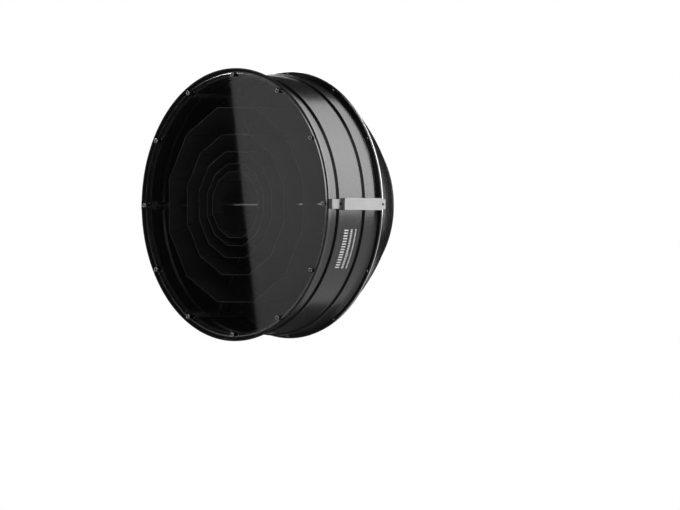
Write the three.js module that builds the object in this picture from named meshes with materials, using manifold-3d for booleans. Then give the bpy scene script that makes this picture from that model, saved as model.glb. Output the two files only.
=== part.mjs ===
// A large drum-shaped beam hood for a studio lamp: a black spun drum with a flat front glass, a louver of
// nested twelve-sided rings on three cross bars, a spun bowl at the back and a bayonet mount for the lamp.
// Millimetres. The drum's axis is Y: the front looks towards -Y, and +Z is up. The origin is on the axis, on the
// face that seats against the lamp. Most pieces are drawn in (radius, depth), depth being counted from the front
// edge of the rim towards the back, and are then revolved about the axis or stood on a spoke of the drum.
import * as THREE from "three";
import { mergeVertices } from "three/addons/utils/BufferGeometryUtils.js";
import Module from "manifold-3d";

const wasm = await Module();
wasm.setup();

// Driving dimensions
const SEAT_DEPTH = 370; // from the rim's front edge to the lamp's seat face
const SEGMENTS = 60; // facets of a full turn
const GAP = 0.3; // clearance between pieces that touch
const SHEET = 2.5; // wall of the drum, rim and bowl

const RIM_RADIUS = 350;
const RIM_MOUTH_RADIUS = 345.5;
const RIM_WALL_RADIUS = 343.4;
const LEDGE_DEPTH = 16;
const LEDGE_OUTER_RADIUS = 340.8;
const LEDGE_INNER_RADIUS = 328.5;

const DRUM_RADIUS = 332;
const RIDGE_HEIGHT = 5;
const RIDGES = [
  { start: 45, end: 65 },
  { start: 136.5, end: 156 },
];
const FLANGE_RADIUS = 343.5;
const FLANGE_DEPTH = 192.5; // front face of the drum's rear flange
const FLARE = { start: 180, radius: 3.2 };

const REAR_RING = { outer: 344.6, inner: 329.5, thickness: 3 };
const BOWL_TIP_DEPTH = 466; // depth at which the bowl's curve would meet the axis
const BOWL_MOUTH_RADIUS = 342;
const BOWL_MOUTH_DEPTH = 200;
const BOWL_END_DEPTH = 362;
const BOWL_STEPS = 6;

const GLASS = { radius: 341.4, front: 3.2, thickness: 2.6, hole: 2.5 };
const GASKET = { outer: 343.7, waist: 342.6, foot: 340.2, thickness: 3.8 };
const CLIP_COUNT = 12;
const CLIP = { inner: 330, outer: 338, width: 5.6, front: -4, shank: 2 };
const CLIP_HEAD = { radius: 6.2, centre: 333.5, thickness: 2.4 };
const CLIP_FOOT = { width: 15, thickness: 1.6 };

const LOUVER_SIDES = 12;
const LOUVER_APOTHEMS = [85.6, 105.7, 136.8, 180.9, 250.4];
const LOUVER = { front: 6.6, back: 190, sheet: 1.8 };
const BAR = { thickness: 4, height: 24, foot: 18 };
const BARS = [
  { angle: 0, front: 34 },
  { angle: 60, front: 98 },
  { angle: 120, front: 160 },
];
const RAIL_COUNT = 6;
const RAIL = { outer: 328.6, thickness: 2.4, width: 20, front: 19.2, back: 189 };

const STRAP = { inner: 337.4, outer: 340.4, width: 25, front: 6, back: 206 };
const GRIP = { outer: 350, tail: 348.5, width: 30.5, front: 57, bend: 180.5, tailFront: 186.3, back: 187.5 };
const STRAP_SCREWS = [
  { name: "front", depth: 53.2, seat: STRAP.outer },
  { name: "rear", depth: 198, seat: 348 },
];

const PLATE = { outer: 215.5, inner: 108.6, thickness: 3.5 };
const MOUNT = { bore: 96, neck: 108, flange: 128, flangeThickness: 4 };
const COLLAR = { outer: 103, length: 12 };
const LUG = { count: 3, outer: 110, length: 5, arc: Math.PI / 4.5 };
const MOUNT_SCREWS = { count: 4, circle: 119, radius: 4, pocket: 2.6 };
const FLANGE_SCREWS = { count: 12, circle: 338.4, radius: 3, head: 2.2, shank: 1.5, length: 6 };

const FINISH = {
  drum: { color: 0x17181a, roughness: 0.45, metalness: 0.3 },
  inside: { color: 0x0c0c0d, roughness: 0.85, metalness: 0.1 },
  louver: { color: 0x111113, roughness: 0.8, metalness: 0.1 },
  glass: { color: 0xf4f6f7, roughness: 0.02, metalness: 0, transparent: true, opacity: 0.2 },
  rubber: { color: 0x0d0d0d, roughness: 0.9, metalness: 0 },
  aluminium: { color: 0xa9abad, roughness: 0.4, metalness: 0.9 },
  bright: { color: 0xd8d9da, roughness: 0.15, metalness: 1 },
  steel: { color: 0xc2c4c6, roughness: 0.3, metalness: 1 },
};

const hood = new THREE.Group();

// ---- solids -------------------------------------------------------------------------------------------------

// A closed geometry as a solid that can be cut and joined.
function solidOf(geometry) {
  const bare = geometry.clone();
  bare.deleteAttribute("normal");
  bare.deleteAttribute("uv");
  const merged = mergeVertices(bare, 1e-3);
  const vertProperties = new Float32Array(merged.attributes.position.array);
  const triVerts = new Uint32Array(merged.index.array);
  return new wasm.Manifold(new wasm.Mesh({ numProp: 3, vertProperties, triVerts }));
}

function geometryOf(solid) {
  const mesh = solid.getMesh();
  const geometry = new THREE.BufferGeometry();
  geometry.setAttribute("position", new THREE.BufferAttribute(mesh.vertProperties, 3));
  geometry.setIndex(new THREE.BufferAttribute(mesh.triVerts, 1));
  geometry.computeVertexNormals();
  return geometry;
}

function join(...geometries) {
  return geometryOf(geometries.map(solidOf).reduce((whole, solid) => whole.add(solid)));
}

function cut(geometry, cutters) {
  return geometryOf(cutters.map(solidOf).reduce((rest, solid) => rest.subtract(solid), solidOf(geometry)));
}

// A (radius, depth) point in the drum's half plane.
function at(radius, depth) {
  return new THREE.Vector2(radius, depth - SEAT_DEPTH);
}

// A closed (radius, depth) outline revolved about the axis.
function revolve(outline) {
  const closed = [...outline, outline[0]].map(([radius, depth]) => at(radius, depth));
  return new THREE.LatheGeometry(closed, SEGMENTS);
}

// A closed (radius, depth) outline given a width across its spoke.
function spokePlate(outline, width) {
  const shape = new THREE.Shape(outline.map(([radius, depth]) => at(radius, depth)));
  const plate = new THREE.ExtrudeGeometry(shape, { depth: width, bevelEnabled: false });
  return plate.translate(0, 0, -width / 2);
}

// A block on a spoke between two radii and two depths.
function spokeBlock(inner, outer, front, back, width) {
  const block = new THREE.BoxGeometry(outer - inner, back - front, width);
  return block.translate((inner + outer) / 2, (front + back) / 2 - SEAT_DEPTH, 0);
}

// A round pin parallel to the axis, on a spoke.
function spokePin(radius, centre, front, back, sides) {
  const pin = new THREE.CylinderGeometry(radius, radius, back - front, sides);
  return pin.translate(centre, (front + back) / 2 - SEAT_DEPTH, 0);
}

function turned(geometry, angle) {
  return geometry.clone().rotateY(-angle);
}

// Adds a piece to the hood, turned about the axis to its spoke.
function add(name, geometry, finish, angle = 0) {
  const mesh = new THREE.Mesh(geometry, new THREE.MeshStandardMaterial(FINISH[finish]));
  mesh.name = name;
  mesh.rotation.y = -angle;
  hood.add(mesh);
}

function number(index) {
  return String(index + 1).padStart(2, "0");
}

function spokes(count) {
  return Array.from({ length: count }, (_, index) => (index * 2 * Math.PI) / count);
}

// ---- drum ---------------------------------------------------------------------------------------------------

// The rim: a thin lip, a wall that narrows to the back, and a flat ledge for the clips.
function addFrontRim() {
  const outline = [
    [RIM_RADIUS, 0],
    [RIM_RADIUS, SHEET],
    [RIM_MOUTH_RADIUS + 2.2, 4.2],
    [RIM_MOUTH_RADIUS + 1.3, 9.5],
    [RIM_WALL_RADIUS, 14.5],
    [RIM_WALL_RADIUS, LEDGE_DEPTH + SHEET],
    [LEDGE_INNER_RADIUS, LEDGE_DEPTH + SHEET],
    [LEDGE_INNER_RADIUS, LEDGE_DEPTH],
    [LEDGE_OUTER_RADIUS, LEDGE_DEPTH],
    [LEDGE_OUTER_RADIUS, 13],
    [RIM_MOUTH_RADIUS - 1, 8],
    [RIM_MOUTH_RADIUS, 0],
  ];
  add("front_rim", revolve(outline), "drum");
}

// One rolled ridge of the drum wall, as points from front to back on a wall of the given radius.
function ridge({ start, end }, radius) {
  return [
    [radius, start],
    [radius + RIDGE_HEIGHT, start + RIDGE_HEIGHT],
    [radius + RIDGE_HEIGHT, end - RIDGE_HEIGHT],
    [radius, end],
  ];
}

function addDrum() {
  const front = LEDGE_DEPTH + SHEET + GAP;
  const inner = DRUM_RADIUS - SHEET;
  const flareRadius = DRUM_RADIUS + FLARE.radius;
  const outside = [
    [DRUM_RADIUS, front],
    ...RIDGES.flatMap((item) => ridge(item, DRUM_RADIUS)),
    [DRUM_RADIUS, FLARE.start],
    [DRUM_RADIUS + FLARE.radius * 0.3, FLANGE_DEPTH - 3.4],
    [flareRadius, FLANGE_DEPTH],
    [FLANGE_RADIUS, FLANGE_DEPTH],
  ];
  const inside = [
    [FLANGE_RADIUS, FLANGE_DEPTH + SHEET],
    [inner, FLANGE_DEPTH + SHEET],
    ...RIDGES.flatMap((item) => ridge(item, inner)).reverse(),
    [inner, front],
  ];
  const wall = revolve([...outside, ...inside]);
  const holes = flangeHoles(FLANGE_DEPTH - 1, FLANGE_DEPTH + SHEET + 1);
  add("drum_shell", cut(wall, holes), "drum");
}

// The clearance holes of the flange screws between two depths.
function flangeHoles(front, back) {
  const hole = spokePin(FLANGE_SCREWS.shank + GAP, FLANGE_SCREWS.circle, front, back, 8);
  return spokes(FLANGE_SCREWS.count).map((angle) => turned(hole, angle));
}

function addRearRing() {
  const front = FLANGE_DEPTH + SHEET + GAP;
  const back = front + REAR_RING.thickness;
  const outline = [
    [REAR_RING.outer, front],
    [REAR_RING.outer, back],
    [REAR_RING.inner, back],
    [REAR_RING.inner, front],
  ];
  const holes = flangeHoles(front - 1, front + FLANGE_SCREWS.length - SHEET);
  add("rear_ring", cut(revolve(outline), holes), "bright");
}

function addFlangeScrews() {
  const { count, circle, radius, head, shank, length } = FLANGE_SCREWS;
  const headBack = FLANGE_DEPTH - GAP;
  const screw = join(
    spokePin(radius, circle, headBack - head, headBack, 12),
    spokePin(shank, circle, headBack - 0.5, headBack + length - 0.8, 8),
  );
  spokes(count).forEach((angle, index) => add(`flange_screw_${number(index)}`, screw, "steel", angle));
}

// ---- front glass --------------------------------------------------------------------------------------------

const GLASS_BACK = GLASS.front + GLASS.thickness;

// A flat pane with a hole for each clip's screw.
function addGlass() {
  const disc = new THREE.CylinderGeometry(GLASS.radius, GLASS.radius, GLASS.thickness, SEGMENTS);
  disc.translate(0, GLASS.front + GLASS.thickness / 2 - SEAT_DEPTH, 0);
  const hole = spokePin(GLASS.hole, CLIP_HEAD.centre, GLASS.front - 1, GLASS_BACK + 1, 12);
  const holes = spokes(CLIP_COUNT).map((angle) => turned(hole, angle));
  add("front_glass", cut(disc, holes), "glass");
}

// The rubber band round the edge of the glass, with a foot behind it that rests on the rim's wall.
function addGasket() {
  const front = GLASS.front - GAP;
  const footFront = GLASS_BACK + GAP;
  const back = footFront + GASKET.thickness;
  const outline = [
    [GASKET.outer, front],
    [GASKET.outer, footFront + 0.8],
    [GASKET.waist, back],
    [GASKET.foot, back],
    [GASKET.foot, footFront],
    [GLASS.radius + GAP, footFront],
    [GLASS.radius + GAP, front],
  ];
  add("glass_gasket", revolve(outline), "rubber");
}

// A clip stands on the ledge behind the glass, passes its screw through it, and holds it with a block and a
// round screw head in front.
function addGlassClips() {
  const foot = LEDGE_DEPTH - GAP;
  const clip = join(
    spokeBlock(CLIP.inner, CLIP.outer, CLIP.front, GLASS.front - GAP, CLIP.width),
    spokePin(CLIP.shank, CLIP_HEAD.centre, GLASS.front - 1, GLASS_BACK + 1, 12),
    spokeBlock(CLIP.inner, CLIP.outer, GLASS_BACK + GAP, foot, CLIP.width),
    spokeBlock(CLIP.inner, CLIP.outer, foot - CLIP_FOOT.thickness, foot, CLIP_FOOT.width),
    spokePin(CLIP_HEAD.radius, CLIP_HEAD.centre, CLIP.front - CLIP_HEAD.thickness, CLIP.front + 0.4, 16),
  );
  spokes(CLIP_COUNT).forEach((angle, index) => add(`glass_clip_${number(index)}`, clip, "drum", angle));
}

// ---- louver -------------------------------------------------------------------------------------------------

function barSlot({ angle, front }) {
  const reach = RIM_RADIUS;
  const slot = spokeBlock(-reach, reach, front - GAP, front + BAR.height + GAP, BAR.thickness + 2 * GAP);
  return turned(slot, angle);
}

// A twelve-sided sheet ring with a flat on every spoke, slotted for the bars.
function louverRing(apothem) {
  const half = Math.PI / LOUVER_SIDES;
  const outer = apothem / Math.cos(half);
  const inner = (apothem - LOUVER.sheet) / Math.cos(half);
  const closed = [
    at(outer, LOUVER.front),
    at(outer, LOUVER.back),
    at(inner, LOUVER.back),
    at(inner, LOUVER.front),
    at(outer, LOUVER.front),
  ];
  const sleeve = new THREE.LatheGeometry(closed, LOUVER_SIDES, half);
  const slots = BARS.map(({ angle, front }) => barSlot({ angle: THREE.MathUtils.degToRad(angle), front }));
  return cut(sleeve, slots);
}

// A thin bar right across the drum, with a wide foot at each end.
function crossBar(front) {
  const end = RAIL.outer - RAIL.thickness - GAP;
  const half = BAR.thickness / 2;
  const step = end - SHEET;
  const outline = [
    [end, -BAR.foot / 2],
    [end, BAR.foot / 2],
    [step, BAR.foot / 2],
    [step, half],
    [-step, half],
    [-step, BAR.foot / 2],
    [-end, BAR.foot / 2],
    [-end, -BAR.foot / 2],
    [-step, -BAR.foot / 2],
    [-step, -half],
    [step, -half],
    [step, -BAR.foot / 2],
  ];
  const shape = new THREE.Shape(outline.map(([x, z]) => new THREE.Vector2(x, z)));
  const bar = new THREE.ExtrudeGeometry(shape, { depth: BAR.height, bevelEnabled: false });
  return bar.rotateX(-Math.PI / 2).translate(0, front - SEAT_DEPTH, 0);
}

function addLouver() {
  LOUVER_APOTHEMS.forEach((apothem, index) => add(`louver_ring_${number(index)}`, louverRing(apothem), "louver"));
  BARS.forEach(({ angle, front }, index) =>
    add(`cross_bar_${number(index)}`, crossBar(front), "louver", THREE.MathUtils.degToRad(angle)),
  );
}

function addWallRails() {
  const rail = spokeBlock(RAIL.outer - RAIL.thickness, RAIL.outer, RAIL.front, RAIL.back, RAIL.width);
  spokes(RAIL_COUNT).forEach((angle, index) => add(`wall_rail_${number(index)}`, rail, "inside", angle));
}

// ---- side straps --------------------------------------------------------------------------------------------

// A strap runs along the drum from the rim to the rear ring, over both ridges.
function strapOutline() {
  const thickness = STRAP.outer - STRAP.inner;
  const rimSeat = RIM_RADIUS - 1.6;
  const rearSeat = REAR_RING.outer + 2 * GAP;
  const stepFront = LEDGE_DEPTH + SHEET + GAP;
  const stepBack = FLANGE_DEPTH - 3;
  return [
    [rimSeat, STRAP.front],
    [rimSeat, stepFront],
    [STRAP.inner, stepFront + 2],
    [STRAP.inner, stepBack - 6],
    [rearSeat, stepBack],
    [rearSeat, STRAP.back],
    [rearSeat + thickness, STRAP.back],
    [rearSeat + thickness, stepBack - 3],
    [STRAP.outer, stepBack - 8.8],
    [STRAP.outer, stepFront + 5],
    [rimSeat + thickness, stepFront],
    [rimSeat + thickness, STRAP.front],
  ];
}

// The raised bar on the strap. Its back end follows the strap's bend outwards.
function gripOutline() {
  const underside = STRAP.outer + GAP;
  return [
    [underside, GRIP.front],
    [GRIP.outer, GRIP.front],
    [GRIP.outer, GRIP.back],
    [GRIP.tail, GRIP.back],
    [GRIP.tail, GRIP.tailFront],
    [underside, GRIP.bend],
  ];
}

function strapScrew({ depth, seat }) {
  const head = new THREE.CylinderGeometry(2.8, 3.4, 2, 12);
  return head.rotateZ(-Math.PI / 2).translate(seat + GAP + 1, depth - SEAT_DEPTH, 0);
}

function addSideStrap(side, angle) {
  const strap = spokePlate(strapOutline(), STRAP.width);
  const grip = spokePlate(gripOutline(), GRIP.width);
  add(`strap_${side}`, strap, "aluminium", angle);
  add(`grip_${side}`, grip, "aluminium", angle);
  STRAP_SCREWS.forEach((screw) => add(`strap_screw_${side}_${screw.name}`, strapScrew(screw), "steel", angle));
}

// ---- back ---------------------------------------------------------------------------------------------------

// The bowl's radius at a depth: a parabola about the axis.
function bowlRadius(depth) {
  const reach = (BOWL_TIP_DEPTH - depth) / (BOWL_TIP_DEPTH - BOWL_MOUTH_DEPTH);
  return BOWL_MOUTH_RADIUS * Math.sqrt(reach);
}

function addBowl() {
  const flangeFront = FLANGE_DEPTH + SHEET + REAR_RING.thickness + 2 * GAP;
  const depths = Array.from(
    { length: BOWL_STEPS + 1 },
    (_, step) => flangeFront + SHEET + ((BOWL_END_DEPTH - flangeFront - SHEET) * step) / BOWL_STEPS,
  );
  const outside = depths.map((depth) => [bowlRadius(depth), depth]);
  const inside = depths.map((depth) => [bowlRadius(depth) - SHEET - 1, depth]).reverse();
  const outline = [
    [FLANGE_RADIUS, flangeFront],
    [FLANGE_RADIUS, flangeFront + SHEET],
    ...outside,
    ...inside,
    [BOWL_MOUTH_RADIUS - SHEET - 3, flangeFront],
  ];
  add("rear_bowl", revolve(outline), "drum");
}

function mountScrewPins(radius, front, back, sides) {
  const pin = spokePin(radius, MOUNT_SCREWS.circle, front, back, sides);
  return spokes(MOUNT_SCREWS.count).map((angle) => turned(pin, angle + Math.PI / 4));
}

function addMountPlate() {
  const front = BOWL_END_DEPTH + GAP;
  const outline = [
    [PLATE.outer, front],
    [PLATE.outer, front + PLATE.thickness],
    [PLATE.inner, front + PLATE.thickness],
    [PLATE.inner, front],
  ];
  const holes = mountScrewPins(2.3, front - 1, front + PLATE.thickness + 1, 8);
  add("mount_plate", cut(revolve(outline), holes), "drum");
}

// The mount: a neck through the plate, a flange that seats on the lamp, and a collar with three lugs.
function addMountRing() {
  const flangeFront = SEAT_DEPTH - MOUNT.flangeThickness;
  const outline = [
    [MOUNT.neck, BOWL_END_DEPTH - 8],
    [MOUNT.neck, flangeFront],
    [MOUNT.flange, flangeFront],
    [MOUNT.flange, SEAT_DEPTH],
    [COLLAR.outer, SEAT_DEPTH],
    [COLLAR.outer, SEAT_DEPTH + COLLAR.length],
    [MOUNT.bore, SEAT_DEPTH + COLLAR.length],
    [MOUNT.bore, BOWL_END_DEPTH - 8],
  ];
  const lug = lugBlock();
  const lugs = spokes(LUG.count).map((angle) => turned(lug, angle + Math.PI / 2));
  const ring = join(revolve(outline), ...lugs);
  const pockets = mountScrewPins(MOUNT_SCREWS.radius + GAP, SEAT_DEPTH - MOUNT_SCREWS.pocket, SEAT_DEPTH + 1, 12);
  const holes = mountScrewPins(2.3, flangeFront - 1, SEAT_DEPTH, 8);
  add("mount_ring", cut(ring, [...pockets, ...holes]), "bright");
}

// One bayonet lug: a short arc at the back end of the collar.
function lugBlock() {
  const shape = new THREE.Shape();
  shape.absarc(0, 0, LUG.outer, -LUG.arc / 2, LUG.arc / 2, false);
  shape.absarc(0, 0, COLLAR.outer - 2, LUG.arc / 2, -LUG.arc / 2, true);
  const lug = new THREE.ExtrudeGeometry(shape, { depth: LUG.length, bevelEnabled: false, curveSegments: 6 });
  return lug.rotateX(-Math.PI / 2).translate(0, COLLAR.length - LUG.length - 0.5, 0);
}

function addMountScrews() {
  const { circle, radius, pocket, count } = MOUNT_SCREWS;
  const screw = join(
    spokePin(radius, circle, SEAT_DEPTH - pocket + GAP, SEAT_DEPTH - GAP, 12),
    spokePin(2, circle, BOWL_END_DEPTH + 1, SEAT_DEPTH - pocket + GAP + 0.5, 8),
  );
  spokes(count).forEach((angle, index) =>
    add(`mount_screw_${number(index)}`, screw, "steel", angle + Math.PI / 4),
  );
}

addFrontRim();
addDrum();
addRearRing();
addFlangeScrews();
addGlass();
addGasket();
addGlassClips();
addLouver();
addWallRails();
addSideStrap("right", 0);
addSideStrap("left", Math.PI);
addBowl();
addMountPlate();
addMountRing();
addMountScrews();

export default hood;
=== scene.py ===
"""A drum-shaped beam hood for a studio lamp: a black powder-coated drum with a flat front glass over a louver
of nested twelve-sided rings, a strap on each side, a bright ring at the back and a spun bowl behind it.

The drum's axis is Y and its front looks towards -Y. Round pieces are drawn as (radius, depth) outlines in
millimetres, depth being counted from the front edge of the rim towards the back, and revolved about the axis.
What repeats round the drum stands on a spoke: an angle from +X, turning towards +Z.
"""

import math

import bmesh
import bpy
from mathutils import Matrix, Vector


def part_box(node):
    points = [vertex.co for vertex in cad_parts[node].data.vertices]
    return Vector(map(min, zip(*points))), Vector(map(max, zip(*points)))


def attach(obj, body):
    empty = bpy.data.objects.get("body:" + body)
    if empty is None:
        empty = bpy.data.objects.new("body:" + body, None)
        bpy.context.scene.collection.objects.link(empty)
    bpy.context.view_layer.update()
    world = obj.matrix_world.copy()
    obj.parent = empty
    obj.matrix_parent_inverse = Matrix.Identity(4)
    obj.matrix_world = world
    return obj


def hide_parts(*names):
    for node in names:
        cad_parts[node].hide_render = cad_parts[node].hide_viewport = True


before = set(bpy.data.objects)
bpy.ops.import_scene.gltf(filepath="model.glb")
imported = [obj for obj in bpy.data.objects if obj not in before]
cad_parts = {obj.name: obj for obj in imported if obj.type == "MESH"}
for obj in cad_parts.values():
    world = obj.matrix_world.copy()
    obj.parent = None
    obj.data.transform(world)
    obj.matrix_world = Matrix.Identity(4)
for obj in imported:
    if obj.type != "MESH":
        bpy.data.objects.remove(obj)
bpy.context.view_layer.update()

MM = 0.001
BODY = "root"
SIDES = 240  # facets of a full turn
ARC_STEPS = 5  # facets of a rounded corner

RIM_LOW, RIM_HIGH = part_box("front_rim")
DRUM_LOW, DRUM_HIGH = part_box("drum_shell")
RING_LOW, RING_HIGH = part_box("rear_ring")
BOWL_LOW, BOWL_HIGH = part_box("rear_bowl")
PLATE_LOW, PLATE_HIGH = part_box("mount_plate")
GLASS_LOW, GLASS_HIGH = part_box("front_glass")
GASKET_LOW, GASKET_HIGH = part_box("glass_gasket")
GRIP_LOW, GRIP_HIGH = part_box("grip_right")
_, STRAP_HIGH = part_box("strap_right")

FRONT = RIM_LOW.y


def depth_of(y):
    """The depth in millimetres behind the rim's front edge of a place along the axis."""
    return (y - FRONT) / MM


RIM_RADIUS = RIM_HIGH.z / MM
SEAT_DEPTH = depth_of(0)
FLANGE_RADIUS = DRUM_HIGH.z / MM
FLANGE_BACK = depth_of(DRUM_HIGH.y)
SHEET = 2.5  # the wall of the drum and its flange
DRUM_RADIUS = 332
DRUM_FRONT = depth_of(DRUM_LOW.y)
FLANGE_FRONT = FLANGE_BACK - SHEET
RIDGE_HEIGHT = 5
RIDGES = ((45, 65), (136.5, 156))  # the depths where each ridge starts and ends

MOUTH_RADIUS = 345.4
WALL_RADIUS = 343.4
LEDGE_RADIUS = 340.8
LEDGE_INNER_RADIUS = 328.5
LEDGE_DEPTH = 16

CLIP_FRONT = -4  # where a clip's front block ends, in front of the rim
CLIP_HEAD_CENTRE = 333.5
CLIP_FOOT_FRONT = 14.1
CLIP_FOOT_BACK = 15.7
RIVET_CENTRE = 335
FLANGE_SCREW_CENTRE = 338.4
MOUNT_SCREW_CENTRE = 119
PLATE_HOLE_RADIUS = 108.6
BOWL_WALL = 3.5

STRAP_TOP = 351.4
STRAP_GAUGE = 3
STRAP_LOW = 340.4  # the strap's outside where it lies along the drum
STRAP_REAR = 348.2  # and where it stands on the rear flange
PAD_BACK = 11.7

CLIP_ANGLES = [math.radians(30 * step) for step in range(12)]
RAIL_ANGLES = [math.radians(60 * step) for step in range(6)]
MOUNT_ANGLES = [math.radians(45 + 90 * step) for step in range(4)]
LOUVER_RINGS = 5
RAIL_SCREW_DEPTHS = (76, 101, 125, 165)


# ---- materials -----------------------------------------------------------------------------------


def new_material(name, **inputs):
    """A material with one Principled shader. Inputs are its sockets, with _ for a space."""
    made = bpy.data.materials.new(name)
    made.use_nodes = True
    shader = made.node_tree.nodes["Principled BSDF"]
    for socket, value in inputs.items():
        shader.inputs[socket.replace("_", " ")].default_value = value
    return made


def noise(made, scale, detail=3.0, roughness=0.55, stretch=(1, 1, 1)):
    """A noise texture in the piece's own space. Its Fac output is returned."""
    nodes, links = made.node_tree.nodes, made.node_tree.links
    place = nodes.new("ShaderNodeTexCoord")
    spread = nodes.new("ShaderNodeMapping")
    spread.inputs["Scale"].default_value = stretch
    texture = nodes.new("ShaderNodeTexNoise")
    texture.inputs["Scale"].default_value = scale
    texture.inputs["Detail"].default_value = detail
    texture.inputs["Roughness"].default_value = roughness
    links.new(place.outputs["Object"], spread.inputs["Vector"])
    links.new(spread.outputs["Vector"], texture.inputs["Vector"])
    return texture.outputs["Fac"]


def turning_marks(made, spacing):
    """Fine rings about the drum's axis, as a lathe leaves them. The Fac output is returned."""
    nodes, links = made.node_tree.nodes, made.node_tree.links
    place = nodes.new("ShaderNodeTexCoord")
    wave = nodes.new("ShaderNodeTexWave")
    wave.wave_type = "RINGS"
    wave.rings_direction = "Y"
    wave.inputs["Scale"].default_value = 1 / (spacing * MM * 20)
    wave.inputs["Distortion"].default_value = 0.6
    wave.inputs["Detail"].default_value = 2.0
    links.new(place.outputs["Object"], wave.inputs["Vector"])
    return wave.outputs["Fac"]


def ranged(tree, source, starts, ends, low=0.0, high=1.0):
    """Spreads a source that runs from starts to ends over low to high. The result's output is returned."""
    spread = tree.nodes.new("ShaderNodeMapRange")
    spread.inputs["From Min"].default_value = starts
    spread.inputs["From Max"].default_value = ends
    spread.inputs["To Min"].default_value = low
    spread.inputs["To Max"].default_value = high
    tree.links.new(source, spread.inputs["Value"])
    return spread.outputs["Result"]


def along(tree, source, axis):
    """One axis of a vector output."""
    parts = tree.nodes.new("ShaderNodeSeparateXYZ")
    tree.links.new(source, parts.inputs["Vector"])
    return parts.outputs[axis]


def drive(made, source, socket, low, high):
    """Feeds a socket with a noise's middle range, spread over low to high."""
    tree = made.node_tree
    value = ranged(tree, source, 0.3, 0.7, low, high)
    tree.links.new(value, tree.nodes["Principled BSDF"].inputs[socket])


def tint(made, source, dark, light):
    """Colours the shader between two colours by a 0 to 1 source."""
    nodes, links = made.node_tree.nodes, made.node_tree.links
    ramp = nodes.new("ShaderNodeValToRGB")
    ramp.color_ramp.elements[0].position = 0.3
    ramp.color_ramp.elements[0].color = (*dark, 1)
    ramp.color_ramp.elements[1].position = 0.7
    ramp.color_ramp.elements[1].color = (*light, 1)
    links.new(source, ramp.inputs["Fac"])
    links.new(ramp.outputs["Color"], nodes["Principled BSDF"].inputs["Base Color"])


def emboss(made, source, height, strength=1.0):
    """Bumps the surface by a 0 to 1 source of the given height in millimetres."""
    nodes, links = made.node_tree.nodes, made.node_tree.links
    bump = nodes.new("ShaderNodeBump")
    bump.inputs["Strength"].default_value = strength
    bump.inputs["Distance"].default_value = height * MM
    links.new(source, bump.inputs["Height"])
    links.new(bump.outputs["Normal"], nodes["Principled BSDF"].inputs["Normal"])


def powder_coat(name, colour, rough, grain, height, shine=0.5):
    """Black powder coat: an orange-peel grain, with the gloss and the colour varying a little over it."""
    made = new_material(name, Specular_IOR_Level=shine)
    fine = noise(made, 1 / (grain * MM), detail=2.0)
    broad = noise(made, 9.0, detail=4.0)
    tint(made, broad, [c * 0.8 for c in colour], [c * 1.2 for c in colour])
    drive(made, fine, "Roughness", rough - 0.05, rough + 0.07)
    emboss(made, fine, height)
    return made


def matte_black(name, level, rough):
    """Fine-grained black with little gloss."""
    made = new_material(name, Specular_IOR_Level=0.4)
    fine = noise(made, 700.0, detail=2.0)
    broad = noise(made, 14.0, detail=3.0)
    tint(made, broad, [level * 0.75] * 3, [level * 1.25] * 3)
    drive(made, fine, "Roughness", rough - 0.08, rough + 0.08)
    emboss(made, fine, 0.02)
    return made


def black_with_painted_edge_highlight(name, level, rough, start):
    """Satin black whose front-facing faces turn to bright metal from a place along X onwards: a painted
    highlight where the bar's front edge catches the light, not wear.
    """
    made = matte_black(name, level, rough)
    tree = made.node_tree
    nodes, links = tree.nodes, tree.links
    shader = nodes["Principled BSDF"]
    normal = nodes.new("ShaderNodeNewGeometry").outputs["True Normal"]
    place = nodes.new("ShaderNodeTexCoord").outputs["Object"]
    faces_front = ranged(tree, along(tree, normal, "Y"), -0.1, -0.4)
    # Painted highlight: the front-facing faces turn to bright metal only from this place along X onwards.
    painted_highlight_share = ranged(tree, along(tree, place, "X"), start - 0.006, start + 0.006)
    both = nodes.new("ShaderNodeMath")
    both.operation = "MULTIPLY"
    links.new(painted_highlight_share, both.inputs[0])
    links.new(faces_front, both.inputs[1])
    colour = nodes.new("ShaderNodeMix")
    colour.data_type = "RGBA"
    black, metal = colour.inputs[6], colour.inputs[7]
    metal.default_value = (0.6, 0.6, 0.6, 1)
    links.new(shader.inputs["Base Color"].links[0].from_socket, black)
    links.new(both.outputs["Value"], colour.inputs[0])
    links.new(colour.outputs[2], shader.inputs["Base Color"])
    links.new(both.outputs["Value"], shader.inputs["Metallic"])
    return made


def turned_metal(name, level, rough, spacing, height):
    """Aluminium off a lathe, with its marks at a spacing in millimetres."""
    made = new_material(name, Metallic=1.0)
    marks = turning_marks(made, spacing)
    broad = noise(made, 25.0)
    tint(made, broad, [level * 0.93] * 3, [level] * 3)
    drive(made, broad, "Roughness", rough - 0.03, rough + 0.05)
    emboss(made, marks, height, 0.5)
    return made


def brushed_metal(name, level, rough):
    """Satin anodised aluminium, brushed along the drum's axis."""
    made = new_material(name, Metallic=0.3)
    streaks = noise(made, 500.0, detail=3.0, stretch=(1, 0.04, 1))
    broad = noise(made, 18.0)
    tint(made, broad, [level * 0.94] * 3, [level * 1.03] * 3)
    drive(made, streaks, "Roughness", rough - 0.05, rough + 0.08)
    emboss(made, streaks, 0.012)
    return made


def plated_steel(name, level, rough):
    """Smooth plated steel, for screws and rivets."""
    made = new_material(name, Metallic=1.0)
    fine = noise(made, 900.0, detail=2.0)
    tint(made, fine, [level * 0.85] * 3, [level] * 3)
    drive(made, fine, "Roughness", rough - 0.04, rough + 0.08)
    emboss(made, fine, 0.01)
    return made


def black_rubber():
    """Matt black rubber, for the gasket and the pads."""
    made = new_material("gasket_rubber", Specular_IOR_Level=0.3)
    fine = noise(made, 600.0)
    tint(made, fine, (0.008, 0.008, 0.008), (0.016, 0.016, 0.016))
    drive(made, fine, "Roughness", 0.6, 0.8)
    emboss(made, fine, 0.03)
    return made


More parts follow.
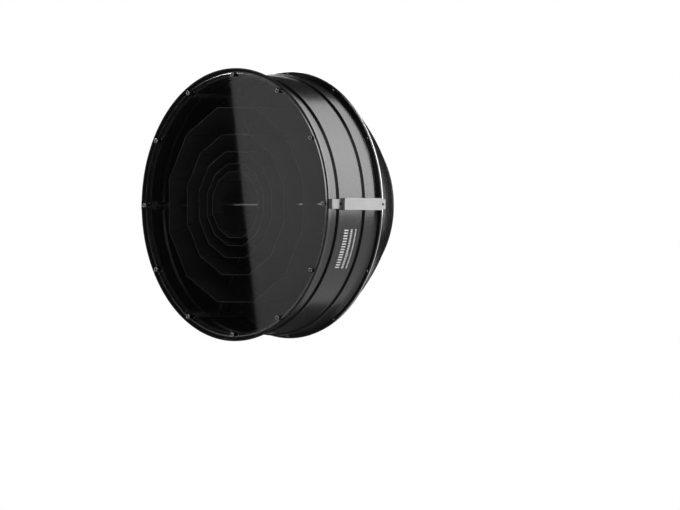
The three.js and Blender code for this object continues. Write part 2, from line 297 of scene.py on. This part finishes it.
def clear_glass():
    """Flat clear glass. Rays from lamps pass straight through it, so that they reach the louver."""
    made = new_material("front_glass_clear", Transmission_Weight=1.0, IOR=1.5, Roughness=0.0)
    nodes, links = made.node_tree.nodes, made.node_tree.links
    shader = nodes["Principled BSDF"]
    shader.inputs["Base Color"].default_value = (0.985, 0.992, 0.988, 1)
    smear = noise(made, 6.0, detail=5.0)
    drive(made, smear, "Roughness", 0.02, 0.03)
    path = nodes.new("ShaderNodeLightPath")
    clear = nodes.new("ShaderNodeBsdfTransparent")
    mix = nodes.new("ShaderNodeMixShader")
    links.new(path.outputs["Is Shadow Ray"], mix.inputs["Fac"])
    links.new(shader.outputs["BSDF"], mix.inputs[1])
    links.new(clear.outputs["BSDF"], mix.inputs[2])
    links.new(mix.outputs["Shader"], nodes["Material Output"].inputs["Surface"])
    return made


def ground_glass():
    """The ground edge of the pane, which catches the light like dull silver."""
    made = new_material("ground_glass_edge", Metallic=0.8)
    fine = noise(made, 800.0)
    tint(made, fine, (0.82, 0.84, 0.83), (0.9, 0.92, 0.91))
    drive(made, fine, "Roughness", 0.16, 0.24)
    emboss(made, fine, 0.02)
    return made


def marking_paint():
    """White printing ink."""
    made = new_material("marking_paint", Specular_IOR_Level=0.4)
    fine = noise(made, 500.0)
    tint(made, fine, (0.72, 0.72, 0.72), (0.85, 0.85, 0.85))
    drive(made, fine, "Roughness", 0.4, 0.55)
    return made


DRUM_COAT = powder_coat("drum_powder_coat", (0.011, 0.011, 0.012), 0.24, 1.1, 0.03)
BOWL_COAT = powder_coat("bowl_gloss_coat", (0.006, 0.006, 0.007), 0.12, 2.4, 0.006, 0.3)
CLIP_COAT = powder_coat("clip_satin_black", (0.004, 0.004, 0.0045), 0.42, 0.8, 0.02, 0.15)
INSIDE_COAT = powder_coat("drum_inside_coat", (0.002, 0.002, 0.002), 0.36, 1.1, 0.03)
LOUVER_BLACK = matte_black("louver_matt_black", 0.02, 0.5)
# Satin black with a painted highlight on its front edges from 30 mm left of the axis onwards.
BAR_BLACK = black_with_painted_edge_highlight("bar_satin_black_painted_highlight", 0.014, 0.16, -0.03)
RAIL_BLACK = matte_black("rail_satin_black", 0.045, 0.42)
BRIGHT_METAL = turned_metal("bright_turned_aluminium", 0.74, 0.18, 0.5, 0.006)
MOUNT_METAL = turned_metal("mount_turned_aluminium", 0.66, 0.28, 0.7, 0.012)
STRAP_METAL = brushed_metal("strap_satin_aluminium", 0.28, 0.45)
SCREW_METAL = plated_steel("plated_steel", 0.82, 0.2)
SOCKET_BLACK = matte_black("screw_socket_shadow", 0.003, 0.6)
RUBBER = black_rubber()
GLASS = clear_glass()
GROUND_GLASS = ground_glass()
MARKING = marking_paint()
FLAG_BLACK = matte_black("flag_black", 0.004, 0.9)


# ---- shapes: (vertices, faces) in millimetres ----------------------------------------------------


def rounded(corners):
    """A closed outline with its corners rounded. A corner is (u, v) or (u, v, radius)."""
    points = []
    for index, corner in enumerate(corners):
        here = Vector(corner[:2])
        radius = corner[2] if len(corner) > 2 else 0
        if not radius:
            points.append(tuple(here))
            continue
        before = Vector(corners[index - 1][:2]) - here
        after = Vector(corners[(index + 1) % len(corners)][:2]) - here
        half = before.angle(after) / 2
        reach = radius / math.tan(half)
        start = here + before.normalized() * reach
        end = here + after.normalized() * reach
        centre = here + (before.normalized() + after.normalized()).normalized() * radius / math.sin(half)
        points += [arc_point(centre, start, end, step / ARC_STEPS) for step in range(ARC_STEPS + 1)]
    return points


def arc_point(centre, start, end, share):
    """A point on the short arc from start to end about centre."""
    first, last = start - centre, end - centre
    swing = first.angle_signed(last)
    return centre + Matrix.Rotation(-swing * share, 2) @ first


def revolved(outline, sides=SIDES, start=0.0, sweep=2 * math.pi):
    """A closed (radius, depth) outline turned about the axis. A part turn gets flat end faces."""
    whole = abs(sweep - 2 * math.pi) < 1e-6
    columns = sides if whole else sides + 1
    count = len(outline)
    verts = []
    for column in range(columns):
        angle = start + sweep * column / sides
        verts += [(r * math.cos(angle), d, r * math.sin(angle)) for r, d in outline]
    faces = []
    for column in range(sides):
        here, there = column * count, ((column + 1) % columns) * count
        for row in range(count):
            after = (row + 1) % count
            faces.append((here + row, here + after, there + after, there + row))
    if not whole:
        faces.append(tuple(range(count)))
        faces.append(tuple(range((columns - 1) * count, columns * count)))
    return verts, faces


def disc_turned(profile, sides):
    """A (radius, height) profile from axis to axis, turned about a screw's own axis, which points to -Y."""
    verts = [(0, -profile[0][1], 0)]
    for radius, height in profile[1:-1]:
        for side in range(sides):
            angle = 2 * math.pi * side / sides
            verts.append((radius * math.cos(angle), -height, radius * math.sin(angle)))
    verts.append((0, -profile[-1][1], 0))
    faces = [(0, 1 + side, 1 + (side + 1) % sides) for side in range(sides)]
    rows = len(profile) - 2
    for row in range(rows - 1):
        low, high = 1 + row * sides, 1 + (row + 1) * sides
        for side in range(sides):
            after = (side + 1) % sides
            faces.append((low + side, high + side, high + after, low + after))
    last, tip = 1 + (rows - 1) * sides, len(verts) - 1
    faces += [(last + side, tip, last + (side + 1) % sides) for side in range(sides)]
    return verts, faces


def prism(outline, low, high):
    """A closed (x, y) outline given a thickness from z = low to z = high."""
    count = len(outline)
    verts = [(u, v, low) for u, v in outline] + [(u, v, high) for u, v in outline]
    faces = [tuple(range(count)), tuple(range(2 * count - 1, count - 1, -1))]
    for index in range(count):
        after = (index + 1) % count
        faces.append((index, after, count + after, count + index))
    return verts, faces


def block(low, high):
    """A box between two corners."""
    outline = [(low[0], low[1]), (high[0], low[1]), (high[0], high[1]), (low[0], high[1])]
    return prism(outline, low[2], high[2])


def bevelled(shape, width, steps=2):
    """The shape with its sharp edges rounded off by a width in millimetres."""
    made = to_bmesh(shape)
    sharp = [edge for edge in made.edges if edge.calc_face_angle(0) > math.radians(25)]
    bmesh.ops.bevel(made, geom=sharp, offset=width, segments=steps, profile=0.5, affect="EDGES")
    made.verts.index_update()
    done = ([tuple(v.co) for v in made.verts], [tuple(v.index for v in f.verts) for f in made.faces])
    made.free()
    return done


def to_bmesh(shape):
    """A shape as a bmesh with its faces turned outwards."""
    made = bmesh.new()
    corners = [made.verts.new(co) for co in shape[0]]
    for face in shape[1]:
        made.faces.new([corners[index] for index in face])
    bmesh.ops.recalc_face_normals(made, faces=made.faces)
    return made


def moved(shape, matrix):
    """A shape with its vertices moved by a matrix."""
    return [tuple(matrix @ Vector(co)) for co in shape[0]], shape[1]


def on_spoke(shape, angle):
    """Turns a shape drawn on the +X spoke to another spoke."""
    return moved(shape, Matrix.Rotation(-angle, 4, "Y"))


def at(radius, depth, across=0.0):
    """Moves a shape out along the +X spoke, back to a depth, and across it."""
    return Matrix.Translation((radius, depth, across))


# ---- pieces --------------------------------------------------------------------------------------


def in_row_frame(shapes):
    """The vertices in metres, no edges, and the faces of several shapes together."""
    verts, faces = [], []
    for shape in shapes:
        start = len(verts)
        verts += [(x * MM, FRONT + y * MM, z * MM) for x, y, z in shape[0]]
        faces += [tuple(start + index for index in face) for face in shape[1]]
    return verts, [], faces


def piece(name, parts, stands_for=()):
    """A piece of the object from (shape, material) parts, in the row frame."""
    mesh = bpy.data.meshes.new(name)
    mesh.from_pydata(*in_row_frame([shape for shape, _ in parts]))
    materials = list(dict.fromkeys(material for _, material in parts))
    slots = [materials.index(material) for shape, material in parts for _ in shape[1]]
    mesh.polygons.foreach_set("material_index", slots)
    for material in materials:
        mesh.materials.append(material)
    face_out(mesh)
    mesh.shade_smooth()
    mesh.set_sharp_from_angle(angle=math.radians(32))
    made = bpy.data.objects.new(name, mesh)
    bpy.context.scene.collection.objects.link(made)
    flat_faces = made.modifiers.new("flat_faces", "WEIGHTED_NORMAL")
    flat_faces.keep_sharp = True
    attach(made, BODY)
    if stands_for:
        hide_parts(*stands_for)
    return made


def face_out(mesh):
    """Turns a mesh's faces outwards."""
    work = bmesh.new()
    work.from_mesh(mesh)
    bmesh.ops.recalc_face_normals(work, faces=work.faces)
    work.to_mesh(mesh)
    work.free()


def repaint(node, material, edge):
    """Gives a CAD node its finish and rounds its edges by a width in millimetres."""
    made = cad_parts[node]
    made.data.materials.clear()
    made.data.materials.append(material)
    rounding = made.modifiers.new("rounded_edges", "BEVEL")
    rounding.width = edge * MM
    rounding.segments = 2
    rounding.limit_method = "ANGLE"
    rounding.angle_limit = math.radians(20)
    rounding.harden_normals = True


def split(shape, is_first, first, second):
    """Splits a shape's faces between two materials by where their centres lie."""
    verts, faces = shape
    groups = ([], [])
    for face in faces:
        centre = sum((Vector(verts[index]) for index in face), Vector()) / len(face)
        groups[0 if is_first(math.hypot(centre.x, centre.z), centre.y) else 1].append(face)
    return [((verts, groups[0]), first), ((verts, groups[1]), second)]


def number(index):
    """The two-digit number that ends a name, counted from 01."""
    return f"{index + 1:02d}"


# The drum


def add_rim():
    """The rim: a black lip, a wall that narrows to the back, and a flat ledge."""
    outline = rounded(
        [
            (RIM_RADIUS, 0, 0.5),
            (RIM_RADIUS, 2.8, 1.1),
            (347.6, 4.2, 1.2),
            (346.8, 9.5, 1.5),
            (WALL_RADIUS, 14.5, 1.5),
            (WALL_RADIUS, LEDGE_DEPTH + SHEET, 0.8),
            (LEDGE_INNER_RADIUS, LEDGE_DEPTH + SHEET, 0.5),
            (LEDGE_INNER_RADIUS, LEDGE_DEPTH, 0.5),
            (LEDGE_RADIUS, LEDGE_DEPTH, 0.8),
            (LEDGE_RADIUS, 13, 0.8),
            (344.6, 8, 0.8),
            (MOUTH_RADIUS, 0, 0.4),
        ]
    )
    piece("fine_front_rim", [(revolved(outline), DRUM_COAT)], ["front_rim"])


def ridge(start, end, radius):
    """One rolled ridge of the wall, from front to back."""
    return [
        (radius, start, 1.5),
        (radius + RIDGE_HEIGHT, start + RIDGE_HEIGHT, 1.8),
        (radius + RIDGE_HEIGHT, end - RIDGE_HEIGHT, 1.8),
        (radius, end, 1.5),
    ]


def add_drum():
    """The drum's wall, with its ridges on both skins, flared out to the rear flange."""
    inner = DRUM_RADIUS - SHEET
    outside = [(DRUM_RADIUS, DRUM_FRONT, 0.4)]
    inside = []
    for start, end in RIDGES:
        outside += ridge(start, end, DRUM_RADIUS)
        inside += ridge(start, end, inner)
    outline = rounded(
        outside
        + [
            (DRUM_RADIUS, 180.5, 12),
            (DRUM_RADIUS + 1.4, 188.5, 4),
            (DRUM_RADIUS + 3.4, FLANGE_FRONT, 1.8),
            (FLANGE_RADIUS, FLANGE_FRONT, 0.6),
            (FLANGE_RADIUS, FLANGE_BACK, 0.5),
            (inner, FLANGE_BACK, 0.5),
        ]
        + inside[::-1]
        + [(inner, DRUM_FRONT, 0.4)]
    )
    parts = split(revolved(outline), drum_outside, DRUM_COAT, INSIDE_COAT)
    piece("fine_drum_shell", parts, ["drum_shell"])


def drum_outside(radius, depth):
    """Whether a place in the drum's wall lies on its outer skin."""
    rises = [min(RIDGE_HEIGHT, depth - start, end - depth) for start, end in RIDGES]
    return radius > DRUM_RADIUS - SHEET / 2 + max(0, *rises)


def flat_ring(inner, low, high, front_rounding, back_rounding):
    """A flat ring that fills a CAD ring's box outside its inner radius."""
    front, back = depth_of(low.y), depth_of(high.y)
    outer = high.z / MM
    outline = [
        (outer, front, front_rounding),
        (outer, back, back_rounding),
        (inner, back, 0.4),
        (inner, front, 0.4),
    ]
    return revolved(rounded(outline))


def add_rear_ring():
    """The bright ring behind the rear flange."""
    ring = flat_ring(DRUM_RADIUS - SHEET, RING_LOW, RING_HIGH, 1.2, 1.6)
    piece("fine_rear_ring", [(ring, BRIGHT_METAL)], ["rear_ring"])


def socket_head(radius, height, socket):
    """A button-head screw as (metal, socket floor) shapes."""
    profile = [(0, -1.5), (radius * 0.6, -1.5), (radius * 0.6, 0), (radius, 0), (radius, height * 0.35)]
    for step in range(1, 4):
        angle = step * math.pi / 8
        dome = socket + (radius - socket) * math.cos(angle)
        profile.append((dome, height * (0.35 + 0.65 * math.sin(angle))))
    profile += [(socket * 1.06, height), (socket, height * 0.93), (socket, height * 0.3), (0, height * 0.3)]
    bottom, top, edge = height * 0.31, height * 0.34, socket * 0.98
    floor = disc_turned([(0, bottom), (edge, bottom), (edge, top), (0, top)], 6)
    return disc_turned(profile, 24), floor


def add_flange_screws():
    """Button-head screws in the front of the rear flange."""
    metal, floor = socket_head(3.0, 2.2, 1.5)
    for index, angle in enumerate(CLIP_ANGLES):
        place = Matrix.Rotation(-angle, 4, "Y") @ at(FLANGE_SCREW_CENTRE, FLANGE_FRONT)
        parts = [(moved(metal, place), SCREW_METAL), (moved(floor, place), SOCKET_BLACK)]
        piece(f"fine_flange_screw_{number(index)}", parts, [f"flange_screw_{number(index)}"])


# The front glass


def add_glass():
    """The pane, with a ground bevel near its edge that is steeper on its outside."""
    radius = GLASS_HIGH.z / MM
    front, back = depth_of(GLASS_LOW.y), depth_of(GLASS_HIGH.y)
    bevel_start, bevel_end = radius - 5.2, radius - 2.6
    profile = [
        (0, -front),
        (bevel_start, -front),
        (bevel_start + 1.2, -front - 0.44),
        (bevel_end, -front - 1.84),
        (radius, -front - 1.9),
        (radius, -back + 0.5),
        (radius - 0.5, -back),
        (0, -back),
    ]
    pane = disc_turned(profile, SIDES)
    parts = split(pane, lambda place, depth: bevel_start < place < bevel_end, GROUND_GLASS, GLASS)
    piece("fine_front_glass", parts, ["front_glass"])


def add_gasket():
    """The rubber band round the pane and behind its edge."""
    outer, back = GASKET_HIGH.z / MM, depth_of(GASKET_HIGH.y)
    front = depth_of(GASKET_LOW.y)
    inner = GLASS_HIGH.z / MM + 0.3
    foot = GLASS_HIGH.z / MM - 1
    seat = depth_of(GLASS_HIGH.y) + 0.3
    corners = [
        (outer, front, 0.5),
        (outer, seat + 0.8, 0.4),
        (outer - 1.1, back, 0.4),
        (foot, back, 0.4),
        (foot, seat, 0.4),
        (inner, seat),
        (inner, front, 0.4),
    ]
    piece("fine_glass_gasket", [(revolved(rounded(corners)), RUBBER)], ["glass_gasket"])


def clip_block(front, back):
    """One of the two blocks of a clip, which stand in front of the glass and behind it."""
    return bevelled(block((329, front, -3.4), (339, back, 3.4)), 0.6)


def add_clips():
    """A clip's blocks, foot and button-head screw, and the two rivets that hold its foot to the ledge."""
    glass_front, glass_back = depth_of(GLASS_LOW.y), depth_of(GLASS_HIGH.y)
    head, floor = socket_head(6.2, 2.4, 3.0)
    rivet, _ = socket_head(2.8, 1.9, 0.5)
    foot = bevelled(block((329.8, CLIP_FOOT_FRONT, -7.5), (338, CLIP_FOOT_BACK, 7.5)), 0.35)
    head_seat = at(CLIP_HEAD_CENTRE, CLIP_FRONT)
    parts = [
        (clip_block(CLIP_FRONT, glass_front - 0.3), CLIP_COAT),
        (clip_block(glass_back + 0.3, CLIP_FOOT_BACK), CLIP_COAT),
        (foot, CLIP_COAT),
        (moved(head, head_seat), SCREW_METAL),
        (moved(floor, head_seat), SOCKET_BLACK),
    ]
    for side in (-1, 1):
        parts.append((moved(rivet, at(RIVET_CENTRE, CLIP_FOOT_FRONT, side * 4.4)), SCREW_METAL))
    for index, angle in enumerate(CLIP_ANGLES):
        turned = [(on_spoke(shape, angle), material) for shape, material in parts]
        piece(f"fine_glass_clip_{number(index)}", turned, [f"glass_clip_{number(index)}"])


# The louver


def repaint_louver():
    """The finishes of the rings, the bars and the rails, which keep their CAD shapes."""
    for index in range(LOUVER_RINGS):
        repaint(f"louver_ring_{number(index)}", LOUVER_BLACK, 0.5)
    # The middle bar's front edges carry a painted highlight from a place along X onwards.
    repaint("cross_bar_01", BAR_BLACK, 1.3)
    repaint("cross_bar_02", LOUVER_BLACK, 1.3)
    repaint("cross_bar_03", LOUVER_BLACK, 1.3)
    for index in range(6):
        repaint(f"wall_rail_{number(index)}", RAIL_BLACK, 0.7)


# The side straps


def outward_head(radius, height, socket, metal):
    """A button head whose axis is the +X spoke, as (shape, material) parts."""
    shapes = socket_head(radius, height, socket)
    outward = Matrix.Rotation(math.pi / 2, 4, "Z")
    return [(moved(shape, outward), material) for shape, material in zip(shapes, (metal, SOCKET_BLACK))]


def strap_shape():
    """The strap: high over the rim's wall, low along the drum, and up again onto the rear flange."""
    outside = [
        (STRAP_REAR, 203.4, 0.8),
        (STRAP_REAR, 186.5, 2.0),
        (STRAP_LOW, 181, 2.0),
        (STRAP_LOW, 34, 2.5),
        (STRAP_TOP, 30, 2.0),
        (STRAP_TOP - 0.5, PAD_BACK + 0.1),
    ]
    inside = [
        (STRAP_TOP - STRAP_GAUGE, PAD_BACK + 0.1),
        (STRAP_TOP - STRAP_GAUGE, 28.5, 2.0),
        (STRAP_LOW - STRAP_GAUGE, 31, 2.0),
        (STRAP_LOW - STRAP_GAUGE, 183.5, 2.0),
        (STRAP_REAR - STRAP_GAUGE, 189.5, 2.0),
        (STRAP_REAR - STRAP_GAUGE, 203.4, 0.8),
    ]
    half = STRAP_HIGH.z / MM
    return bevelled(prism(rounded(inside + outside), -half, half), 0.5)


def pad_shape():
    """The dark pad at the strap's front end, which reaches over the rim."""
    inside, over_rim, front = 347.8, 350.1, 0.4
    outline = [
        (inside, 4.8),
        (over_rim, 3.4),
        (over_rim, front),
        (STRAP_TOP - 0.4, front),
        (STRAP_TOP - 0.2, PAD_BACK),
        (inside, PAD_BACK),
    ]
    half = STRAP_HIGH.z / MM
    return bevelled(prism(outline, -half, half), 0.3)


def grip_shape():
    """The grip bar on the strap, cut away at its back for the strap's bend."""
    half = GRIP_HIGH.z / MM
    low, high = GRIP_LOW.x / MM, GRIP_HIGH.x / MM
    front, back = depth_of(GRIP_LOW.y), depth_of(GRIP_HIGH.y)
    tail = high - 1.5
    outline = [(low, front), (high, front), (high, back), (tail, back), (tail, back - 1.2), (low, back - 7)]
    return bevelled(prism(outline, -half, half), 0.5, 3)


def add_strap(side, angle):
    """A strap with its front pad, the grip bar on it, and its two screws."""
    strap = [(on_spoke(strap_shape(), angle), STRAP_METAL), (on_spoke(pad_shape(), angle), RUBBER)]
    grip = [(on_spoke(grip_shape(), angle), STRAP_METAL)]
    piece(f"fine_strap_{side}", strap, [f"strap_{side}"])
    piece(f"fine_grip_{side}", grip, [f"grip_{side}"])
    head = outward_head(3.0, 1.5, 1.8, CLIP_COAT)
    for end, seat, depth in (("front", STRAP_LOW + 0.1, 51.5), ("rear", STRAP_REAR + 0.1, 194.5)):
        parts = [(on_spoke(moved(shape, at(seat, depth)), angle), material) for shape, material in head]
        name = f"strap_screw_{side}_{end}"
        piece(f"fine_{name}", parts, [name])


def add_rail_screws():
    """Small black screws through the drum's wall into the rails."""
    head = outward_head(2.4, 1.3, 1.1, CLIP_COAT)
    for index, angle in enumerate(RAIL_ANGLES):
        parts = [
            (on_spoke(moved(shape, at(DRUM_RADIUS, depth)), angle), material)
            for depth in RAIL_SCREW_DEPTHS
            for shape, material in head
        ]
        piece(f"rail_screws_{number(index)}", parts)


def add_marking():
    """Plain printed strokes on the drum below the right strap, in three rows."""
    rows = ((80, 94, 15, 0.45), (102, 109, 24, 0.55), (118, 122, 34, 0.6))
    start, end = math.radians(-11), math.radians(-29.5)
    parts = []
    for front, back, count, share in rows:
        for index in range(count):
            angle = start + (end - start) * (index + 0.5) / count
            half = abs(end - start) * DRUM_RADIUS * share / count / 2
            stroke = block((DRUM_RADIUS - 0.3, front, -half), (DRUM_RADIUS + 0.12, back, half))
            parts.append((on_spoke(stroke, angle), MARKING))
    piece("drum_marking", parts)


# The back


def bowl_radius(depth):
    """The bowl's outside: a parabola about the axis, which would meet it at the tip's depth."""
    mouth_radius, mouth_depth, tip_depth = 342, 200, 466
    return mouth_radius * math.sqrt((tip_depth - depth) / (tip_depth - mouth_depth))


def add_bowl():
    """The spun bowl: gloss black outside, matt black inside."""
    front, back = depth_of(BOWL_LOW.y), depth_of(BOWL_HIGH.y)
    curve_start = front + 3
    steps = 40
    depths = [curve_start + (back - curve_start) * step / steps for step in range(steps + 1)]
    outside = [(bowl_radius(depth), depth) for depth in depths]
    inside = [(bowl_radius(depth) - BOWL_WALL, depth) for depth in reversed(depths)]
    lip_radius, lip_inner_radius = 343.5, 334.5
    lip = [(lip_radius, front), (lip_radius, front + 2.5)]
    outline = lip + outside + inside + [(lip_inner_radius, front)]
    parts = split(
        revolved(outline),
        lambda radius, depth: front + 2 < depth < back - 0.5 and radius < bowl_radius(depth) - BOWL_WALL / 2,
        LOUVER_BLACK,
        BOWL_COAT,
    )
    piece("fine_rear_bowl", parts, ["rear_bowl"])


def add_mount_plate():
    """The plate that closes the bowl's narrow end."""
    plate = flat_ring(PLATE_HOLE_RADIUS, PLATE_LOW, PLATE_HIGH, 0.6, 1.2)
    piece("fine_mount_plate", [(plate, DRUM_COAT)], ["mount_plate"])


def add_mount_ring():
    """The turned ring: neck, seat flange with four screw pockets, and a collar with three bayonet lugs."""
    bore, neck, flange, collar, lug_reach = 96, 108, 128, 103, 110
    neck_front, flange_front, collar_back = SEAT_DEPTH - 16, SEAT_DEPTH - 4, SEAT_DEPTH + 12
    lug_front, lug_back = collar_back - 5.5, collar_back - 0.5
    outline = rounded(
        [
            (neck, neck_front, 0.8),
            (neck, flange_front, 0.6),
            (flange, flange_front, 0.8),
            (flange, SEAT_DEPTH, 1.0),
            (collar, SEAT_DEPTH, 0.6),
            (collar, collar_back, 0.8),
            (bore, collar_back, 1.0),
            (bore, neck_front, 1.0),
        ]
    )
    ring = piece("fine_mount_ring", [(revolved(outline), MOUNT_METAL)], ["mount_ring"])
    pocket = moved(pin(4.3, -2.6, 3), at(MOUNT_SCREW_CENTRE, SEAT_DEPTH))
    pockets = [on_spoke(pocket, angle) for angle in MOUNT_ANGLES]
    drill(ring, pockets)
    root = collar - 0.4
    lug_outline = rounded(
        [
            (root, lug_front, 0.3),
            (lug_reach, lug_front, 0.8),
            (lug_reach, lug_back, 0.8),
            (root, lug_back, 0.3),
        ]
    )
    for index in range(3):
        middle = math.pi / 2 + index * 2 * math.pi / 3
        lug = revolved(lug_outline, 24, middle - math.radians(20), math.radians(40))
        piece(f"mount_lug_{number(index)}", [(lug, MOUNT_METAL)])


def pin(radius, low, high):
    """A plain pin about a screw's own axis, from low to high in front of its seat."""
    return disc_turned([(0, low), (radius, low), (radius, high), (0, high)], 32)


def drill(target, cutters):
    """Cuts closed shapes out of a piece."""
    mesh = bpy.data.meshes.new("cutter")
    mesh.from_pydata(*in_row_frame(cutters))
    face_out(mesh)
    cutter = bpy.data.objects.new("cutter", mesh)
    bpy.context.scene.collection.objects.link(cutter)
    cutting = target.modifiers.new("pockets", "BOOLEAN")
    cutting.operation = "DIFFERENCE"
    cutting.solver = "EXACT"
    cutting.object = cutter
    seen = target.evaluated_get(bpy.context.evaluated_depsgraph_get())
    target.data = bpy.data.meshes.new_from_object(seen)
    target.modifiers.remove(cutting)
    bpy.data.objects.remove(cutter)
    target.data.set_sharp_from_angle(angle=math.radians(32))


def add_mount_screws():
    """Countersunk screws whose heads end just below the seat."""
    metal, floor = socket_head(4.0, 2.0, 2.0)
    for index, angle in enumerate(MOUNT_ANGLES):
        behind = at(MOUNT_SCREW_CENTRE, SEAT_DEPTH - 2.5) @ Matrix.Rotation(math.pi, 4, "X")
        parts = [
            (on_spoke(moved(metal, behind), angle), SCREW_METAL),
            (on_spoke(moved(floor, behind), angle), SOCKET_BLACK),
        ]
        piece(f"fine_mount_screw_{number(index)}", parts, [f"mount_screw_{number(index)}"])


# ---- stage ---------------------------------------------------------------------------------------

AZIMUTH = math.radians(45.83)
RIGHT = Vector((math.cos(AZIMUTH), math.sin(AZIMUTH), 0))
TOWARDS_CAMERA = Vector((math.sin(AZIMUTH), -math.cos(AZIMUTH), 0))
UP = Vector((0, 0, 1))
CAMERA_DISTANCE = 16.0
FRAME_WIDTH = 1.74216  # what the picture spans at the rim
FRAME_CENTRE = RIGHT * 0.2727 - UP * 0.1291  # from the middle of the rim


def add_camera():
    """The camera, which looks level at the front of the drum from its right."""
    middle = Vector((0, FRONT, 0)) + FRAME_CENTRE
    data = bpy.data.cameras.new("camera")
    data.sensor_width = 36
    data.lens = data.sensor_width * CAMERA_DISTANCE / FRAME_WIDTH
    data.clip_end = 200
    camera = bpy.data.objects.new("camera", data)
    camera.location = middle + TOWARDS_CAMERA * CAMERA_DISTANCE
    camera.rotation_euler = (-TOWARDS_CAMERA).to_track_quat("-Z", "Y").to_euler()
    bpy.context.scene.collection.objects.link(camera)
    bpy.context.scene.camera = camera


def add_softbox(name, centre, aim, width, height, radiance):
    """A rectangular soft light that shows in reflections but not to the camera."""
    data = bpy.data.lights.new(name, "AREA")
    data.shape = "RECTANGLE"
    data.size = width
    data.size_y = height
    data.energy = radiance * math.pi * width * height
    light = bpy.data.objects.new(name, data)
    light.location = centre
    light.rotation_euler = (Vector(aim) - Vector(centre)).to_track_quat("-Z", "Y").to_euler()
    light.visible_camera = False
    bpy.context.scene.collection.objects.link(light)
    return light


def fade(light, axis, low_place, low, high_place, high):
    """Makes a light's strength run from low to high between two places along an axis."""
    data = light.data
    data.use_nodes = True
    tree = data.node_tree
    place = tree.nodes.new("ShaderNodeNewGeometry").outputs["Position"]
    strength = ranged(tree, along(tree, place, axis), low_place, high_place, low, high)
    tree.links.new(strength, tree.nodes["Emission"].inputs["Strength"])


def add_lights():
    """The soft lights round the object and the card in front of it."""
    barrel = add_softbox("barrel_softbox", (1.7, 2.4, 1.75), (1.7, 0, 1.75), 4.6, 4.1, 7.8)
    fade(barrel, "X", -0.75, 0.33, 3.06, 1.0)
    add_softbox("left_softbox", (-3.2, 0.4, 0.3), (0, 0.2, 0.1), 3.0, 3.0, 1.0)
    add_softbox("top_left_softbox", (-2.15, -1.27, 1.86), (0, FRONT, 0), 0.35, 0.35, 14.0)
    add_softbox("top_softbox", (-2.0, 0.5, 2.0), (0, -0.1, 0.3), 1.2, 1.4, 6.0)
    add_softbox("front_softbox", (1.9, -2.6, 1.5), (0, FRONT, 0), 3.0, 3.0, 0.55)
    add_glass_card()


def add_glass_card():
    """The card whose edge shows as a slanted line in the front glass."""
    slant = math.atan(0.159)
    width, height = 0.9, 1.8
    across = Vector((math.cos(slant), 0, math.sin(slant)))
    centre = Vector((-1.5575, FRONT - 1.5, 0)) + across * (width / 2)
    card = add_softbox("glass_card", centre, centre, width, height, 0.42)
    card.rotation_euler = (math.pi / 2, -slant, 0)
    fade(card, "Z", -0.35, 0.76, 0.3, 1.0)


def flat_corners(left, front, right, back, height):
    """The corners of a level rectangle."""
    return [(left, front, height), (right, front, height), (right, back, height), (left, back, height)]


def add_flag(name, corners):
    """A black card that keeps light off the object and that the camera doesn't see."""
    mesh = bpy.data.meshes.new(name)
    mesh.from_pydata(corners, [], [tuple(range(len(corners)))])
    mesh.materials.append(FLAG_BLACK)
    flag = bpy.data.objects.new(name, mesh)
    flag.visible_camera = False
    bpy.context.scene.collection.objects.link(flag)
    return flag


def add_flags():
    """Flags over the floor in front of the drum and behind it on the left, and one in the lamp's place."""
    reach, split_y = 7.0, -0.4
    add_flag("front_flag", flat_corners(-reach, -reach, reach, split_y, -1.0)).visible_shadow = False
    add_flag("left_flag", flat_corners(-3, split_y, 0.1, 2.6, -1.0)).visible_shadow = False
    behind, radius = 0.03, 0.112
    spokes = [math.radians(10 * step) for step in range(36)]
    add_flag("lamp_flag", [(radius * math.cos(turn), behind, radius * math.sin(turn)) for turn in spokes])


def add_floor():
    """A white floor that gives off as much light as the surround."""
    mesh = bpy.data.meshes.new("floor")
    mesh.from_pydata(flat_corners(-7.0, -7.0, 7.0, 7.0, -1.1), [], [(0, 1, 2, 3)])
    floor = bpy.data.objects.new("floor", mesh)
    paint = bpy.data.materials.new("floor_white")
    paint.use_nodes = True
    nodes, links = paint.node_tree.nodes, paint.node_tree.links
    glow = nodes.new("ShaderNodeEmission")
    glow.inputs["Strength"].default_value = 1.0
    links.new(glow.outputs["Emission"], nodes["Material Output"].inputs["Surface"])
    mesh.materials.append(paint)
    bpy.context.scene.collection.objects.link(floor)


def add_world():
    """A white surround for the camera, and a nearly dark one for everything that is lit or reflected."""
    world = bpy.data.worlds.new("studio")
    world.use_nodes = True
    nodes, links = world.node_tree.nodes, world.node_tree.links
    dim = nodes["Background"]
    dim.inputs["Color"].default_value = (0.01, 0.01, 0.01, 1)
    white = nodes.new("ShaderNodeBackground")
    white.inputs["Color"].default_value = (1, 1, 1, 1)
    path = nodes.new("ShaderNodeLightPath")
    mix = nodes.new("ShaderNodeMixShader")
    links.new(path.outputs["Is Camera Ray"], mix.inputs["Fac"])
    links.new(dim.outputs["Background"], mix.inputs[1])
    links.new(white.outputs["Background"], mix.inputs[2])
    links.new(mix.outputs["Shader"], nodes["World Output"].inputs["Surface"])
    bpy.context.scene.world = world
    bpy.context.scene.view_settings.view_transform = "Standard"


add_camera()
add_lights()
add_floor()
add_flags()
add_world()
add_rim()
add_drum()
add_rear_ring()
add_flange_screws()
add_glass()
add_gasket()
add_clips()
repaint_louver()
add_strap("right", 0.0)
add_strap("left", math.pi)
add_rail_screws()
add_marking()
add_bowl()
add_mount_plate()
add_mount_ring()
add_mount_screws()
